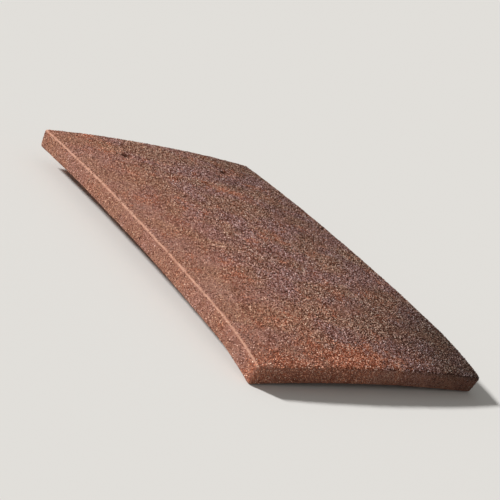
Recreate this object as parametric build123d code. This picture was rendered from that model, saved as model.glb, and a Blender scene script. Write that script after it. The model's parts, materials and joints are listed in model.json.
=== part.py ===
from build123d import *
import os
from math import atan2, cos, degrees, sin, sqrt

# A handmade plain roof tile of fired clay, moulded in one piece: a thin slab that is
# cambered along its length and across its width, with two nibs under its head that hook
# over a batten and two nail holes just below them. Millimetres. +Z is up with the sanded
# face upward, and +Y runs up the slope from the tail to the head. The tile lies as it
# rests on a level floor: on its two nibs and on the two corners of its tail. The origin
# is on the floor, below the middle of the tile.

# The slab
tile_width = 165.0
clay_thickness = 12.0
cross_rise = 3.0  # height of the crown above the long edges
arris_radius = 1.5

# The camber along the tile: a sharper curve down to the tail, a flat one up to the head
tail_run = 45.0
tail_camber_radius = 245.0
head_run = 220.0
head_camber_radius = 2200.0

# The nibs
nib_spacing = 112.0  # centre to centre
nib_width = 22.0  # at the underside, as the length is
nib_length = 13.0
nib_depth = 11.0  # below the underside, at the nib's middle
nib_draft = 13.0  # degrees
nib_setback = 5.0  # from the head's end to the back of the nib
nib_corner_radius = 2.5
nib_tip_radius = 1.5
nib_root_fillet = 2.0

# The nail holes
nail_hole_diameter = 7.0
nail_hole_spacing = 80.0  # centre to centre
nail_hole_below_nib = 15.0  # from the nib's bearing face, down the slope
nail_hole_flare = 0.7  # the rim that the punch broke on the sanded face

cross_radius = (tile_width**2 / 4 + cross_rise**2) / (2 * cross_rise)
nib_bearing_run = head_run - nib_setback - nib_length
punch_length = 4 * clay_thickness

# How finely the resting pose is found
settle_steps = 5
settle_tolerance = 0.01


def crown_point(camber_radius, run):
    """The point of the crown line that far from the bend, measured along the clay."""
    turn = run / camber_radius
    return Vector(0, camber_radius * sin(turn), camber_radius * (cos(turn) - 1))


def head_plane(run):
    """The plane square to the clay at that point of the head's curve, +Y to the head."""
    turn = run / head_camber_radius
    return Plane(
        origin=crown_point(head_camber_radius, run),
        x_dir=(1, 0, 0),
        z_dir=(0, sin(turn), cos(turn)),
    )


def drop_across(offset):
    """How far the clay falls from the crown line, that far to one side of it."""
    return cross_radius - sqrt(cross_radius**2 - offset**2)


def crown_line():
    """The tail's curve and the head's curve, which meet at the bend without a kink."""
    bend = Vector(0, 0, 0)
    tail_curve = ThreePointArc(
        crown_point(tail_camber_radius, -tail_run),
        crown_point(tail_camber_radius, -tail_run / 2),
        bend,
    )
    head_curve = ThreePointArc(
        bend,
        crown_point(head_camber_radius, head_run / 2),
        crown_point(head_camber_radius, head_run),
    )
    return Wire([tail_curve, head_curve])


def slab_section():
    """The slab cut square across: two like arcs a clay's thickness apart."""
    half = tile_width / 2
    under = -clay_thickness
    outline = Curve() + [
        ThreePointArc((-half, -cross_rise), (0, 0), (half, -cross_rise)),
        Line((half, -cross_rise), (half, under - cross_rise)),
        ThreePointArc((half, under - cross_rise), (0, under), (-half, under - cross_rise)),
        Line((-half, under - cross_rise), (-half, -cross_rise)),
    ]
    return make_face(outline)


def cambered_slab():
    """The section swept along the crown, with every arris rounded."""
    path = crown_line()
    at_tail = Plane(origin=path @ 0, x_dir=(-1, 0, 0), z_dir=path % 0)
    slab = sweep(at_tail * slab_section(), path=path)
    smooth_seams = 2  # one above and one below, where the two curves run on at the bend
    arrises = slab.edges().sort_by(lambda edge: abs(edge.center().Y))[smooth_seams:]
    return fillet(arrises, arris_radius)


def nib(side):
    """One nib, drafted on three sides and square on the face that bears on the batten."""
    height = nib_depth + clay_thickness / 2
    shape = Pos(0, 0, -nib_depth) * Box(
        nib_width, nib_length, height, align=(Align.CENTER, Align.MIN, Align.MIN)
    )
    slanted = shape.faces().filter_by(Axis.X) + shape.faces().sort_by(Axis.Y)[-1:]
    shape = draft(slanted, Plane.XY, -nib_draft)
    by_height = shape.faces().sort_by(Axis.Z)
    upright = shape.edges() - by_height[0].edges() - by_height[-1].edges()
    shape = fillet(upright, nib_corner_radius)
    tip = shape.faces().sort_by(Axis.Z)[0]
    shape = fillet(tip.edges(), nib_tip_radius)
    underside = clay_thickness + drop_across(nib_spacing / 2)
    return head_plane(nib_bearing_run) * Pos(side * nib_spacing / 2, 0, -underside) * shape


def nail_punch(side):
    """The punch that pierces one nail hole, flared where it enters the sanded face."""
    radius = nail_hole_diameter / 2
    shank = Cylinder(radius, punch_length)
    flare = Cone(radius, radius + 2 * nail_hole_flare, 2 * nail_hole_flare)
    offset = nail_hole_spacing / 2
    run = nib_bearing_run - nail_hole_below_nib
    return head_plane(run) * Pos(side * offset, 0, -drop_across(offset)) * (shank + flare)


def roof_tile():
    tile = cambered_slab()
    for side in (-1, 1):
        tile -= nail_punch(side)
    for side in (-1, 1):
        hook = nib(side)
        hooked = tile + hook
        tile = fillet(new_edges(tile, hook, combined=hooked), nib_root_fillet)
    return tile


def lowest_point(faces):
    """The point of the faces that is nearest to the floor."""
    points = [point for face in faces for point in face.tessellate(settle_tolerance)[0]]
    return min(points, key=lambda point: point.Z)


def settled(tile):
    """The tile tipped until its tail's corners and its nibs stand level, and set down there."""
    for _ in range(settle_steps):
        tail_low = lowest_point(tile.faces().filter_by(lambda face: face.center().Y < 0))
        head_low = lowest_point(tile.faces().filter_by(lambda face: face.center().Y > 0))
        tip = degrees(atan2(head_low.Z - tail_low.Z, head_low.Y - tail_low.Y))
        tile = tile.rotate(Axis.X, -tip)
    middle = tile.bounding_box().center()
    return Pos(-middle.X, -middle.Y, -lowest_point(tile.faces()).Z) * tile


tile = settled(roof_tile())
os.makedirs("parts", exist_ok=True)
export_step(tile, "parts/roof_tile.step")
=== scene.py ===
import json
import math

import bpy
from mathutils import Matrix, Vector

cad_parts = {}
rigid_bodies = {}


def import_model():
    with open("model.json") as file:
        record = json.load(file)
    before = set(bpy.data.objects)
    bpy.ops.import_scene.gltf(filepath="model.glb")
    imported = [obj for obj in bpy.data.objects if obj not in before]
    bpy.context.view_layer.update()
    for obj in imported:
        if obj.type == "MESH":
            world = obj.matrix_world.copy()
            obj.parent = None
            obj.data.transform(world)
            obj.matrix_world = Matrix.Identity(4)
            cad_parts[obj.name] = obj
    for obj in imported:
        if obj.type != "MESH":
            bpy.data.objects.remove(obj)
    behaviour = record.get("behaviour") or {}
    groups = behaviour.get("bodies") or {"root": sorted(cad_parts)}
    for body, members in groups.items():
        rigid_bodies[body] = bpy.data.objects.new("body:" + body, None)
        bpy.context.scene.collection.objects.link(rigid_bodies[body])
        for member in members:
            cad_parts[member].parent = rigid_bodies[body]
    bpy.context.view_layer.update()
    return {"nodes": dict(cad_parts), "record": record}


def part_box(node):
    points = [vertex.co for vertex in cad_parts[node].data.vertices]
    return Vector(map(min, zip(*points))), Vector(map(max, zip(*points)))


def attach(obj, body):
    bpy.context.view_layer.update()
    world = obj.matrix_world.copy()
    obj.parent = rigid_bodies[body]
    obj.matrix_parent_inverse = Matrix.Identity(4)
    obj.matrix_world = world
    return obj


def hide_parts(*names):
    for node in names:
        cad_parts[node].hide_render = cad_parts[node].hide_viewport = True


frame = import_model()
cadTile = frame["nodes"]["roof_tile"]
tileLow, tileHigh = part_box("roof_tile")
nailHoles = [mount for mount in frame["record"]["mounts"] if mount["kind"] == "bore"]
mm = 0.001


def linear(red, green, blue):  # from a colour as the screen shows it, 0 to 255
    return [((c / 255 + 0.055) / 1.055) ** 2.4 for c in (red, green, blue)] + [1.0]


def addNode(tree, kind, inputs=None, **settings):
    node = tree.nodes.new(kind)
    for name, value in settings.items():
        setattr(node, name, value)
    for name, value in (inputs or {}).items():
        if isinstance(value, bpy.types.NodeSocket):
            tree.links.new(value, node.inputs[name])
        else:
            node.inputs[name].default_value = value
    return node


def calculate(tree, operation, first, second=0.0):
    return addNode(tree, "ShaderNodeMath", {0: first, 1: second}, operation=operation).outputs[0]


def vectorMath(tree, operation, first, second=(0.0, 0.0, 0.0)):
    return addNode(tree, "ShaderNodeVectorMath", {0: first, 1: second}, operation=operation).outputs


def noise(tree, place, wave, detail=2.0, roughness=0.5, shift=0.0):
    moved = vectorMath(tree, "ADD", place, (shift, shift, shift))[0]
    inputs = {"Vector": moved, "Scale": 1 / wave, "Detail": detail, "Roughness": roughness}
    return addNode(tree, "ShaderNodeTexNoise", inputs).outputs[0]


def fade(tree, value, low, high, first=0.0, last=1.0):
    inputs = {"Value": value, "From Min": low, "From Max": high, "To Min": first, "To Max": last}
    return addNode(tree, "ShaderNodeMapRange", inputs, interpolation_type="SMOOTHSTEP").outputs[0]


def blendColours(tree, share, first, second, how="MIX"):
    inputs = {0: share, 6: first, 7: second}
    return addNode(tree, "ShaderNodeMix", inputs, data_type="RGBA", blend_type=how).outputs[2]


def tint(tree, colour, share, towards):
    return blendColours(tree, share, colour, linear(*towards))


def colourRamp(tree, value, stops):
    node = addNode(tree, "ShaderNodeValToRGB", {0: value})
    ramp = node.color_ramp.elements
    ramp[0].color = linear(*stops[0][1])
    ramp[1].color = linear(*stops[-1][1])
    for at, colour in stops[1:-1]:
        ramp.new(at).color = linear(*colour)
    return node.outputs[0]


def randomDraw(tree, value, seed):  # a new random number from 0 to 1 for each value
    place = addNode(tree, "ShaderNodeCombineXYZ", {0: value, 1: seed}).outputs[0]
    draw = addNode(tree, "ShaderNodeTexWhiteNoise", {"Vector": place}, noise_dimensions="3D")
    return draw.outputs["Value"]


def pickOnly(piece):
    bpy.ops.object.select_all(action="DESELECT")
    piece.select_set(True)
    bpy.context.view_layer.objects.active = piece


def newPiece(name, mesh):
    piece = bpy.data.objects.new(name, mesh)
    bpy.context.scene.collection.objects.link(piece)
    pickOnly(piece)
    return piece


def geometryTree(name):
    tree = bpy.data.node_groups.new(name, "GeometryNodeTree")
    for way in ("INPUT", "OUTPUT"):
        tree.interface.new_socket("Geometry", in_out=way, socket_type="NodeSocketGeometry")
    return tree


def applyTree(piece, tree):
    modifier = piece.modifiers.new(tree.name, "NODES")
    modifier.node_group = tree
    bpy.ops.object.modifier_apply(modifier=modifier.name)


def paint(piece, material):
    piece.data.materials.clear()
    piece.data.materials.append(material)


clayBody = {
    "mergeWithin": 0.01 * mm,
    "voxel": 0.8 * mm,
    "handWave": 70 * mm,  # the unevenness that a handmade tile keeps
    "handDepth": 0.7 * mm,
    "edgeWave": 13 * mm,
    "edgeDepth": 0.5 * mm,
    "lumpWave": 5 * mm,
    "lumpDepth": 0.2 * mm,
    "sandWave": 1.7 * mm,
    "sandDepth": 0.25 * mm,
    "levelUpTo": 3 * mm,  # above the floor, so that the tile still stands on it
    "stripAtTail": 12 * mm,  # the strip along the left edge that the sand left nearly bare
    "stripAbove": 23 * mm,
    "stripWidens": 95 * mm,
    "stripSoftness": 9 * mm,
    "stripWander": 30 * mm,
    "stripWanderWave": 24 * mm,
    "stripCover": 0.06,
    "thinWave": 34 * mm,  # smears where the sand lies thin
    "thinFrom": 0.58,
    "thinTo": 0.72,
    "thinCover": 0.5,
    "sideCover": 0.35,
    "nibReach": 22 * mm,  # from the head's end; no sand sticks to the nibs
    "nibTop": 11 * mm,  # above the floor
    "nibSoftness": 1 * mm,
    "holeRim": 1 * mm,  # nor to the walls of the nail holes
    "holeSoftness": 0.5 * mm,
    "plainSlope": 0.1,  # faces that look up less than this are plain, and are thinned
    "plainShare": 0.13,  # of the plain faces, those kept
}


def sandCover(tree, place, normal):  # 1 where the clay is sanded all over, 0 where it is bare
    axes = addNode(tree, "ShaderNodeSeparateXYZ", {0: place}).outputs
    up = addNode(tree, "ShaderNodeSeparateXYZ", {0: normal}).outputs[2]
    wander = noise(tree, place, clayBody["stripWanderWave"], detail=3.0)
    wander = calculate(tree, "SUBTRACT", wander, 0.5)
    wander = calculate(tree, "MULTIPLY", wander, clayBody["stripWander"])
    strip = fade(tree, axes[1], tileLow.y, tileLow.y + clayBody["stripWidens"],
                 tileLow.x + clayBody["stripAtTail"], tileLow.x + clayBody["stripAbove"])
    inward = calculate(tree, "SUBTRACT", calculate(tree, "ADD", axes[0], wander), strip)
    soft = clayBody["stripSoftness"]
    beyondStrip = fade(tree, inward, -soft, soft, clayBody["stripCover"])
    smears = noise(tree, place, clayBody["thinWave"], detail=4.0, shift=0.4)
    smears = fade(tree, smears, clayBody["thinFrom"], clayBody["thinTo"], 1.0, clayBody["thinCover"])
    beyondStrip = calculate(tree, "MULTIPLY", beyondStrip, smears)
    facing = fade(tree, up, 0.2, 0.75)
    sides = fade(tree, up, -0.6, 0.0, 0.0, clayBody["sideCover"])
    nibFrom, nibTop = tileHigh.y - clayBody["nibReach"], clayBody["nibTop"]
    belowNibs = fade(tree, axes[1], nibFrom - clayBody["nibSoftness"], nibFrom, 1.0, 0.0)
    aboveNibs = fade(tree, axes[2], nibTop - clayBody["nibSoftness"], nibTop)
    sides = calculate(tree, "MULTIPLY", sides, calculate(tree, "MAXIMUM", belowNibs, aboveNibs))
    for hole in nailHoles:
        reach = hole["dims"]["r_mm"] * mm + clayBody["holeRim"]
        apart = vectorMath(tree, "SUBTRACT", place, Vector(hole["pos_m"]))[0]
        apart = vectorMath(tree, "MULTIPLY", apart, (1.0, 1.0, 0.0))[0]
        apart = vectorMath(tree, "LENGTH", apart)["Value"]
        clearOfHole = fade(tree, apart, reach, reach + clayBody["holeSoftness"])
        sides = calculate(tree, "MULTIPLY", sides, clearOfHole)
    return calculate(tree, "MAXIMUM", calculate(tree, "MULTIPLY", facing, beyondStrip), sides)


def reliefTree():
    tree = geometryTree("clayRelief")
    start = addNode(tree, "NodeGroupInput").outputs[0]
    place = addNode(tree, "GeometryNodeInputPosition").outputs[0]
    normal = addNode(tree, "GeometryNodeInputNormal").outputs[0]
    cover = sandCover(tree, place, normal)
    turned = addNode(tree, "ShaderNodeSeparateXYZ", {0: normal}).outputs
    # the rounded left arris, which faces the lamp; its mask carries a painted highlight and keeps the
    # sand thin there
    leftward, upward = fade(tree, turned[0], -0.35, -0.6), fade(tree, turned[2], 0.3, 0.6)
    arris = calculate(tree, "MULTIPLY", leftward, upward)
    kept = start
    for name, value in (("sandCover", cover), ("leftArris", arris)):
        kept = addNode(tree, "GeometryNodeStoreNamedAttribute",
                       {"Geometry": kept, "Name": name, "Value": value}).outputs[0]
    height = 0.0
    for wave, depth, by in (
        (clayBody["handWave"], clayBody["handDepth"], 1.0),
        (clayBody["edgeWave"], clayBody["edgeDepth"], 1.0),
        (clayBody["lumpWave"], clayBody["lumpDepth"], 1.0),
        (clayBody["sandWave"], clayBody["sandDepth"], cover),
    ):
        rise = calculate(tree, "SUBTRACT", noise(tree, place, wave, shift=wave), 0.5)
        rise = calculate(tree, "MULTIPLY", calculate(tree, "MULTIPLY", rise, depth), by)
        height = calculate(tree, "ADD", rise, height)
    above = addNode(tree, "ShaderNodeSeparateXYZ", {0: place}).outputs[2]
    height = calculate(tree, "MULTIPLY", height, fade(tree, above, 0.0, clayBody["levelUpTo"]))
    shift = addNode(tree, "ShaderNodeVectorMath", {0: normal, "Scale": height}, operation="SCALE")
    moved = addNode(tree, "GeometryNodeSetPosition", {"Geometry": kept, "Offset": shift.outputs[0]})
    addNode(tree, "NodeGroupOutput", {0: moved.outputs[0]})
    return tree


def buildClayBody():
    piece = newPiece("tileBody", cadTile.data.copy())
    bpy.ops.object.mode_set(mode="EDIT")
    bpy.ops.mesh.select_all(action="SELECT")
    bpy.ops.mesh.remove_doubles(threshold=clayBody["mergeWithin"])
    bpy.ops.object.mode_set(mode="OBJECT")
    remesh = piece.modifiers.new("remesh", "REMESH")
    remesh.mode = "VOXEL"
    remesh.voxel_size = clayBody["voxel"]
    bpy.ops.object.modifier_apply(modifier="remesh")
    applyTree(piece, reliefTree())
    steep = clayBody["plainSlope"]
    plain = piece.vertex_groups.new(name="plain")
    plain.add([v.index for v in piece.data.vertices if v.normal.z < steep], 1.0, "REPLACE")
    thin = piece.modifiers.new("thin", "DECIMATE")
    thin.vertex_group = "plain"
    plainFaces = sum(1 for face in piece.data.polygons if face.normal.z < steep)
    thin.ratio = 1 - (1 - clayBody["plainShare"]) * plainFaces / len(piece.data.polygons)
    bpy.ops.object.modifier_apply(modifier="thin")
    piece.vertex_groups.clear()
    bpy.ops.object.shade_smooth()
    print("tileBody", len(piece.data.polygons), "faces")
    return piece


sand = {
    "shapes": 5,
    "coarse": {"radius": 0.42 * mm, "apart": 0.39 * mm, "zones": 3, "smallest": 0.7, "largest": 1.3},
    "fine": {"radius": 0.3 * mm, "apart": 0.44 * mm, "zones": 2, "smallest": 0.6, "largest": 1.4},
    "tall": 1.4,  # a grain's height, of its radius
    "uneven": 0.4,  # of a grain's radius
    "sizeSkew": 1.6,  # above 1, small grains are the commoner
    "fineCover": 0.05,  # of the sanded face, and all of the strip and the sides
    "underside": -0.3,  # below this slope of the face no fine sand sticks
    "arrisCover": 0.15,
    "bakeMargin": 2 * mm,
    "bakePatch": 0.3 * mm,
    "seed": 7,
    "toneSeed": 11,
    "sizeSeed": 12,
    "turnSeed": 13,
}


def buildGrainShapes(grade):
    radius = sand[grade]["radius"]
    tall = sand["tall"] * radius
    shapes = bpy.data.collections.new(grade + "Shapes")
    for number in range(sand["shapes"]):
        bpy.ops.object.select_all(action="DESELECT")
        bpy.ops.mesh.primitive_cone_add(vertices=3, radius1=radius, radius2=0, depth=tall,
                                        location=(0, 0, 0))
        grain = bpy.context.object
        grain.name = f"{grade}Grain{number}"
        bpy.ops.object.mode_set(mode="EDIT")
        bpy.ops.mesh.select_all(action="SELECT")
        bpy.ops.transform.translate(value=(0, 0, tall / 4))  # its middle to the clay's face
        bpy.ops.transform.vertex_random(offset=sand["uneven"] * radius, seed=sand["seed"] + number)
        bpy.ops.object.mode_set(mode="OBJECT")
        grain.users_collection[0].objects.unlink(grain)
        shapes.objects.link(grain)
    return shapes


def readAttribute(tree, name, kind="FLOAT"):
    return addNode(tree, "GeometryNodeInputNamedAttribute", {"Name": name}, data_type=kind).outputs[0]


# Each grain's faces share one small patch of the bake, laid out as the grains lie
def bakeMap(tree, grains, low, high):
    centre = readAttribute(tree, "grainPlace", "FLOAT_VECTOR")
    centre = addNode(tree, "ShaderNodeSeparateXYZ", {0: centre}).outputs
    corner = addNode(tree, "GeometryNodeFaceOfCorner").outputs["Index in Face"]
    margin = sand["bakeMargin"]
    along = []
    for axis, number, first, last in ((0, 1, tileLow.x, tileHigh.x), (1, 2, low, high)):
        out = calculate(tree, "COMPARE", corner, float(number))
        out = calculate(tree, "MULTIPLY", out, sand["bakePatch"])
        spot = calculate(tree, "ADD", centre[axis], out)
        spot = calculate(tree, "SUBTRACT", spot, first - margin)
        along.append(calculate(tree, "DIVIDE", spot, last - first + 2 * margin))
    place = addNode(tree, "ShaderNodeCombineXYZ", {0: along[0], 1: along[1]}).outputs[0]
    return addNode(tree, "GeometryNodeStoreNamedAttribute", {
        "Geometry": grains, "Name": "OFBake", "Value": place,
    }, data_type="FLOAT2", domain="CORNER").outputs[0]


def randomValue(tree, low, high, seed):
    inputs = {2: low, 3: high, "Seed": seed}
    return addNode(tree, "FunctionNodeRandomValue", inputs, data_type="FLOAT").outputs[1]


def sandTree(grade, zone, body, shapes):
    size = sand[grade]
    tree = geometryTree(f"{grade}Zone{zone}")
    clay = addNode(tree, "GeometryNodeObjectInfo", {"Object": body}).outputs["Geometry"]
    cover = readAttribute(tree, "sandCover")
    if grade == "fine":
        normal = addNode(tree, "GeometryNodeInputNormal").outputs[0]
        up = addNode(tree, "ShaderNodeSeparateXYZ", {0: normal}).outputs[2]
        between = fade(tree, cover, 0.3, 0.8, 1.0, sand["fineCover"])
        offUnderside = fade(tree, up, sand["underside"] - 0.2, sand["underside"])
        cover = calculate(tree, "MULTIPLY", between, offUnderside)
    # sand is kept thin on the left arris, which carries the painted highlight
    offArris = fade(tree, readAttribute(tree, "leftArris"), 0.0, 0.8, 1.0, sand["arrisCover"])
    cover = calculate(tree, "MULTIPLY", cover, offArris)
    spread = addNode(tree, "GeometryNodeDistributePointsOnFaces", {
        "Mesh": clay, "Distance Min": size["apart"], "Density Max": 2 / size["apart"] ** 2,
        "Density Factor": cover, "Seed": sand["seed"],
    }, distribute_method="POISSON")
    place = addNode(tree, "GeometryNodeInputPosition").outputs[0]
    upSlope = addNode(tree, "ShaderNodeSeparateXYZ", {0: place}).outputs[1]
    length = (tileHigh.y - tileLow.y) / size["zones"]
    low = tileLow.y + zone * length
    high = low + length
    outside = addNode(tree, "FunctionNodeBooleanMath", {
        0: calculate(tree, "LESS_THAN", upSlope, low if zone else -1.0),
        1: calculate(tree, "GREATER_THAN", upSlope, high if zone < size["zones"] - 1 else 1.0),
    }, operation="OR").outputs[0]
    points = addNode(tree, "GeometryNodeDeleteGeometry", {
        "Geometry": spread.outputs["Points"], "Selection": outside,
    }, domain="POINT").outputs[0]
    points = addNode(tree, "GeometryNodeStoreNamedAttribute", {
        "Geometry": points, "Name": "grainTone",
        "Value": randomValue(tree, 0.0, 1.0, sand["toneSeed"]),
    }).outputs[0]
    points = addNode(tree, "GeometryNodeStoreNamedAttribute", {
        "Geometry": points, "Name": "grainPlace", "Value": place,
    }, data_type="FLOAT_VECTOR").outputs[0]
    scale = calculate(tree, "POWER", randomValue(tree, 0.0, 1.0, sand["sizeSeed"]), sand["sizeSkew"])
    scale = fade(tree, scale, 0.0, 1.0, size["smallest"], size["largest"])
    turn = addNode(tree, "FunctionNodeRandomValue", {
        0: (0, 0, 0), 1: (math.tau, math.tau, math.tau), "Seed": sand["turnSeed"],
    }, data_type="FLOAT_VECTOR").outputs[0]
    grains = addNode(tree, "GeometryNodeCollectionInfo", {
        "Collection": shapes, "Separate Children": True, "Reset Children": True,
    }).outputs[0]
    laid = addNode(tree, "GeometryNodeInstanceOnPoints", {
        "Points": points, "Instance": grains, "Pick Instance": True, "Rotation": turn, "Scale": scale,
    }).outputs[0]
    real = addNode(tree, "GeometryNodeRealizeInstances", {"Geometry": laid}).outputs[0]
    real = bakeMap(tree, real, low, high)
    for name in ("grainPlace", "leftArris", "id", "UVMap"):
        real = addNode(tree, "GeometryNodeRemoveAttribute", {"Geometry": real, "Name": name}).outputs[0]
    addNode(tree, "NodeGroupOutput", {0: real})
    return tree


def scatterSand(body, grade):
    shapes = buildGrainShapes(grade)
    pieces = []
    for zone in range(sand[grade]["zones"]):
        name = f"{grade}Sand{zone + 1}"
        piece = newPiece(name, bpy.data.meshes.new(name))
        applyTree(piece, sandTree(grade, zone, body, shapes))
        print(name, len(piece.data.polygons), "faces")
        pieces.append(piece)
    for grain in list(shapes.objects):
        bpy.data.objects.remove(grain)
    bpy.data.collections.remove(shapes)
    return pieces


fire = {
    "flashWave": 21 * mm,
    "flashFrom": 0.69,
    "flashTo": 1.0,
    "fleckWave": 6 * mm,  # small flecks that break up the flashes
    "fleckShare": 0.4,
    "tailPull": 0.2,  # more flashes near the tail, on the left
    "tailFrom": 4 * mm,  # up from the tail
    "tailTo": 24 * mm,
    "leftFrom": -10 * mm,  # across from the middle
    "leftTo": 45 * mm,
    "flashInSmoke": 0.35,
    "mottleWave": 26 * mm,  # of the sand's change from mauve to olive
    "driftWave": 45 * mm,  # along which the edges of the smoke and of the warm side wander
    "smokeDrift": 50 * mm,
    "smokeFrom": -36 * mm,  # across from the middle
    "smokeTo": 104 * mm,
    "smokeThinsFrom": 35 * mm,  # up from the tail
    "smokeThinsTo": 95 * mm,
    "smokeLeft": 0.55,
    "warmDrift": 24 * mm,
    "warmFrom": 20 * mm,  # in from the left edge
    "warmTo": 68 * mm,
}


# Where the fire left the face red, where its smoke darkened it, and where the sand is warmer
def kilnMarks(tree, place):
    axes = addNode(tree, "ShaderNodeSeparateXYZ", {0: place})
    across, along = axes.outputs[0], axes.outputs[1]
    patches = noise(tree, place, fire["flashWave"], detail=4.0, roughness=0.6, shift=0.3)
    tailFrom, tailTo = tileLow.y + fire["tailFrom"], tileLow.y + fire["tailTo"]
    nearTail = fade(tree, along, tailFrom, tailTo, 1.0, 0.0)
    leftHalf = fade(tree, across, fire["leftFrom"], fire["leftTo"], 1.0, 0.0)
    pull = calculate(tree, "MULTIPLY", nearTail, leftHalf)
    flash = calculate(tree, "ADD", patches, calculate(tree, "MULTIPLY", pull, fire["tailPull"]))
    flecks = noise(tree, place, fire["fleckWave"], shift=0.9)
    flash = calculate(tree, "ADD", flash, calculate(tree, "MULTIPLY", flecks, fire["fleckShare"]))
    flash = fade(tree, flash, fire["flashFrom"], fire["flashTo"])
    drift = noise(tree, place, fire["driftWave"], detail=3.0, shift=0.7)
    drift = calculate(tree, "SUBTRACT", drift, 0.5)
    reach = calculate(tree, "ADD", across, calculate(tree, "MULTIPLY", drift, fire["smokeDrift"]))
    smoke = fade(tree, reach, fire["smokeFrom"], fire["smokeTo"])
    thinsFrom, thinsTo = tileLow.y + fire["smokeThinsFrom"], tileLow.y + fire["smokeThinsTo"]
    thinned = fade(tree, along, thinsFrom, thinsTo, 1.0, fire["smokeLeft"])
    smoke = calculate(tree, "MULTIPLY", smoke, thinned)
    inSmoke = fade(tree, smoke, 0.1, 0.7, 1.0, fire["flashInSmoke"])
    flash = calculate(tree, "MULTIPLY", flash, inSmoke)
    warm = calculate(tree, "ADD", across, calculate(tree, "MULTIPLY", drift, fire["warmDrift"]))
    warmFrom, warmTo = tileLow.x + fire["warmFrom"], tileLow.x + fire["warmTo"]
    warm = fade(tree, warm, warmFrom, warmTo, 1.0, 0.0)
    return flash, smoke, warm


def newMaterial(name):
    material = bpy.data.materials.new(name)
    material.use_nodes = True
    tree = material.node_tree
    tree.nodes.clear()
    place = addNode(tree, "ShaderNodeTexCoord").outputs["Object"]
    return material, tree, place


def finishMaterial(tree, colour, roughness, bump, depth):
    normal = addNode(tree, "ShaderNodeBump", {"Height": bump, "Distance": depth}).outputs[0]
    shader = addNode(tree, "ShaderNodeBsdfPrincipled", {
        "Base Color": colour, "Roughness": roughness, "Normal": normal, "Specular IOR Level": 0.15,
    }).outputs[0]
    addNode(tree, "ShaderNodeOutputMaterial", {0: shader})


clayLook = {
    "mottleWave": 18 * mm,
    "bareDark": (164, 115, 96),
    "barePale": (180, 137, 119),
    "speckleWave": 1 * mm,
    "bareSpeckDark": (108, 66, 51),
    "bareSpeckPale": (196, 152, 132),
    # painted shade: the side faces darker than the top, which also stands for their own duller clay
    "sides": (112, 72, 58),
    "smoked": (74, 55, 47),
    "smokedShare": 0.75,
    "struckDark": (128, 82, 65),  # the underside, with the drag lines of striking
    "struckPale": (168, 120, 99),
    "struckSpeckDark": (66, 42, 35),
    "struckSpeckPale": (196, 156, 136),
    "strokes": (104, 64, 50),
    "strokeWave": 1.5 * mm,
    "strokeStretch": 0.05,  # how much slower they change along the tile
    "strokeBump": 0.45,
    # a painted highlight along the rounded left arris
    "arris": (206, 160, 137),
    "arrisWave": 7 * mm,
    "pitShade": (74, 36, 25),  # painted shade: the clay between the grains of sand, made darker than it is for the shadow in the pits
    "pitShadeRed": (104, 48, 31),
    "pitShadeWarm": (140, 90, 72),
    "pitShadeSmoked": (26, 16, 12),
    "pitShadeShare": 0.9,  # of the warm and of the smoked pit shade
    "gritWave": 0.7 * mm,
    "gritBump": 0.25,
    "bumpDepth": 1 * mm,
    "roughness": 0.88,
}


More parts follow.
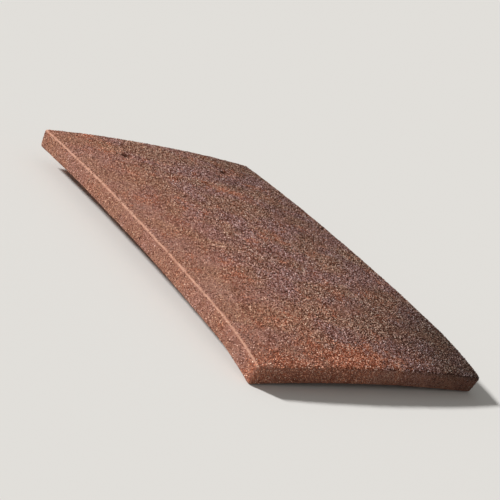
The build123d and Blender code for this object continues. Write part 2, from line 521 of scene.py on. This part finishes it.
def firedClay():
    look = clayLook
    material, tree, place = newMaterial("firedClay")
    flash, smoke, warm = kilnMarks(tree, place)
    cover = addNode(tree, "ShaderNodeAttribute", attribute_name="sandCover").outputs["Fac"]
    mottle = noise(tree, place, look["mottleWave"], detail=5.0, roughness=0.6, shift=0.1)
    speckle = noise(tree, place, look["speckleWave"], detail=2.0, shift=0.2)
    bare = tint(tree, linear(*look["bareDark"]), fade(tree, mottle, 0.35, 0.65), look["barePale"])
    bare = tint(tree, bare, fade(tree, speckle, 0.3, 0.55, 0.7, 0.0), look["bareSpeckDark"])
    bare = tint(tree, bare, fade(tree, speckle, 0.58, 0.75, 0.0, 0.6), look["bareSpeckPale"])
    normal = addNode(tree, "ShaderNodeNewGeometry").outputs["Normal"]
    up = addNode(tree, "ShaderNodeSeparateXYZ", {0: normal}).outputs[2]
    # painted shade: faces that look less up are darkened towards the sides' colour, partly their own
    # duller clay
    bare = tint(tree, bare, fade(tree, up, 0.2, 0.7, 0.5, 0.0), look["sides"])
    smoked = calculate(tree, "MULTIPLY", smoke, look["smokedShare"])
    bare = tint(tree, bare, smoked, look["smoked"])
    below = fade(tree, up, -0.5, 0.0, 1.0, 0.0)
    drawn = vectorMath(tree, "MULTIPLY", place, (1.0, look["strokeStretch"], 1.0))[0]
    strokes = noise(tree, drawn, look["strokeWave"], detail=4.0, roughness=0.65)
    struck = tint(tree, linear(*look["struckDark"]), fade(tree, mottle, 0.3, 0.7), look["struckPale"])
    struck = tint(tree, struck, fade(tree, strokes, 0.35, 0.65, 0.5, 0.0), look["strokes"])
    struck = tint(tree, struck, fade(tree, speckle, 0.6, 0.72, 0.0, 0.7), look["struckSpeckPale"])
    struck = tint(tree, struck, fade(tree, speckle, 0.24, 0.34, 0.8, 0.0), look["struckSpeckDark"])
    bare = blendColours(tree, below, bare, struck)
    # paints a pale highlight along the left arris, broken up by noise
    arris = addNode(tree, "ShaderNodeAttribute", attribute_name="leftArris").outputs["Fac"]
    highlightBreaks = noise(tree, place, look["arrisWave"], detail=3.0, shift=0.5)
    highlightBreaks = fade(tree, highlightBreaks, 0.3, 0.55, 0.4, 0.85)
    bare = tint(tree, bare, calculate(tree, "MULTIPLY", arris, highlightBreaks), look["arris"])
    # the pits between the grains take painted shade, tinted red, warm or smoked where the kiln marks lie
    pitShade = tint(tree, linear(*look["pitShade"]), flash, look["pitShadeRed"])
    for share, colour in ((warm, look["pitShadeWarm"]), (smoke, look["pitShadeSmoked"])):
        pitShade = tint(tree, pitShade, calculate(tree, "MULTIPLY", share, look["pitShadeShare"]), colour)
    colour = blendColours(tree, fade(tree, cover, 0.2, 0.75), bare, pitShade)
    grit = noise(tree, place, look["gritWave"], detail=3.0, roughness=0.6)
    grit = calculate(tree, "MULTIPLY", grit, look["gritBump"])
    drag = calculate(tree, "MULTIPLY", calculate(tree, "MULTIPLY", strokes, below), look["strokeBump"])
    bump = calculate(tree, "ADD", grit, drag)
    finishMaterial(tree, colour, look["roughness"], bump, look["bumpDepth"])
    return material


grainLook = {  # each row of colours runs from the darkest grain to the lightest
    "plain": ((0.0, (40, 16, 9)), (0.3, (124, 77, 61)), (0.7, (202, 156, 141)),
              (0.93, (244, 206, 192)), (1.0, (255, 232, 221))),
    "red": ((0.0, (78, 32, 19)), (0.4, (178, 104, 76)), (0.8, (236, 167, 135)), (1.0, (255, 222, 200))),
    "tan": ((0.0, (84, 48, 36)), (0.5, (192, 140, 120)), (1.0, (236, 194, 173))),
    "soot": ((0.0, (40, 44, 44)), (0.5, (72, 80, 81)), (1.0, (138, 152, 159))),
    "sootShare": 0.9,
    "mauve": (241, 238, 255),
    "olive": (251, 250, 230),
    "mottleShare": 0.6,  # of the lean from mauve to olive; the rest is each grain's own
    "redSpread": 0.7,  # how much more the fire must redden one grain than another
    "tanShare": 0.9,  # of the thin sand beside the strip and on the sides
    "gritWave": 0.35 * mm,
    "bumpDepth": 0.08 * mm,
    "roughness": 0.82,
}


def sandGrains():
    look = grainLook
    material, tree, place = newMaterial("sandGrains")
    flash, smoke, warm = kilnMarks(tree, place)
    tone = addNode(tree, "ShaderNodeAttribute", attribute_name="grainTone").outputs["Fac"]
    plain, red, tan, soot = [colourRamp(tree, tone, look[row]) for row in ("plain", "red", "tan", "soot")]
    cover = addNode(tree, "ShaderNodeAttribute", attribute_name="sandCover").outputs["Fac"]
    thinSand = fade(tree, cover, 0.35, 0.8, look["tanShare"], 0.0)
    colour = blendColours(tree, calculate(tree, "MAXIMUM", warm, thinSand), plain, tan)
    mottle = fade(tree, noise(tree, place, fire["mottleWave"], detail=3.0, shift=0.6), 0.38, 0.62)
    lean = blendColours(tree, look["mottleShare"], randomDraw(tree, tone, 1.0), mottle)
    hue = tint(tree, linear(*look["mauve"]), lean, look["olive"])
    colour = blendColours(tree, 1.0, colour, hue, "MULTIPLY")
    held = calculate(tree, "MULTIPLY", randomDraw(tree, tone, 2.0), look["redSpread"])
    reddened = fade(tree, calculate(tree, "SUBTRACT", flash, held), -0.25, 0.25)
    colour = blendColours(tree, reddened, colour, red)
    sooty = blendColours(tree, 1.0, colour, soot, "MULTIPLY")
    colour = blendColours(tree, calculate(tree, "MULTIPLY", smoke, look["sootShare"]), colour, sooty)
    grit = noise(tree, place, look["gritWave"], detail=2.0)
    finishMaterial(tree, colour, look["roughness"], grit, look["bumpDepth"])
    return material


studio = {
    "floorSize": 12.0,
    "floorColour": (226, 224, 220),
    "sunFrom": (-0.62, 0.50, 0.50),  # from the left and up the slope
    "sunStrength": 4.2,
    "sunAngle": 8,
    "fill": 0.28,
    "fillColour": (255, 253, 250),
    "backdrop": 0.99,  # as bright as the floor looks, so that no horizon shows
}


def buildStudio():
    bpy.ops.object.select_all(action="DESELECT")
    bpy.ops.mesh.primitive_plane_add(size=studio["floorSize"], location=(0, 0, 0))
    floor = bpy.context.object
    floor.name = "floor"
    material, tree = newMaterial("studioFloor")[:2]
    shader = addNode(tree, "ShaderNodeBsdfPrincipled", {
        "Base Color": linear(*studio["floorColour"]), "Roughness": 1.0, "Specular IOR Level": 0.0,
    }).outputs[0]
    addNode(tree, "ShaderNodeOutputMaterial", {0: shader})
    paint(floor, material)

    towardsSun = Vector(studio["sunFrom"]).normalized()
    turned = towardsSun.to_track_quat("Z", "Y").to_euler()
    bpy.ops.object.light_add(type="SUN", location=towardsSun, rotation=turned)
    sun = bpy.context.object
    sun.name = "key"
    sun.data.energy = studio["sunStrength"]
    sun.data.angle = math.radians(studio["sunAngle"])

    world = bpy.data.worlds.new("studio")
    world.use_nodes = True
    bpy.context.scene.world = world
    tree = world.node_tree
    tree.nodes.clear()
    rays = addNode(tree, "ShaderNodeLightPath").outputs
    seen = calculate(tree, "MAXIMUM", rays["Is Camera Ray"], rays["Is Glossy Ray"])
    seen = calculate(tree, "MAXIMUM", seen, rays["Is Transmission Ray"])
    colour = tint(tree, linear(*studio["fillColour"]), seen, studio["floorColour"])
    strength = fade(tree, seen, 0.0, 1.0, studio["fill"], studio["backdrop"])
    shader = addNode(tree, "ShaderNodeBackground", {"Color": colour, "Strength": strength}).outputs[0]
    addNode(tree, "ShaderNodeOutputWorld", {0: shader})


photoCamera = {
    "azimuth": -41.8,
    "elevation": 18.3,
    "roll": 22.9,
    "distance": 718 * mm,
    "lens": 86.0,
    "aim": (0.0, 0.0, 14 * mm),
}


def buildCamera():
    around, above = math.radians(photoCamera["azimuth"]), math.radians(photoCamera["elevation"])
    roll = math.radians(photoCamera["roll"])
    flat = math.cos(above)
    back = Vector((math.sin(around) * flat, -math.cos(around) * flat, math.sin(above)))
    level = Vector((math.cos(around), math.sin(around), 0))
    right = level * math.cos(roll) + back.cross(level) * math.sin(roll)
    turned = Matrix((right, back.cross(right), back)).transposed()
    place = Vector(photoCamera["aim"]) + back * photoCamera["distance"]
    bpy.ops.object.camera_add(location=place, rotation=turned.to_euler())
    camera = bpy.context.object
    camera.data.lens = photoCamera["lens"]
    camera.data.clip_start = 0.01
    bpy.context.scene.camera = camera


buildStudio()
buildCamera()
print("studio and camera set")
body = buildClayBody()
paint(body, firedClay())
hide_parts("roof_tile")
sandPieces = scatterSand(body, "coarse") + scatterSand(body, "fine")
grainFinish = sandGrains()
for piece in sandPieces:
    paint(piece, grainFinish)
for piece in [body, *sandPieces]:
    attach(piece, "root")
bpy.context.scene.view_settings.view_transform = "Standard"
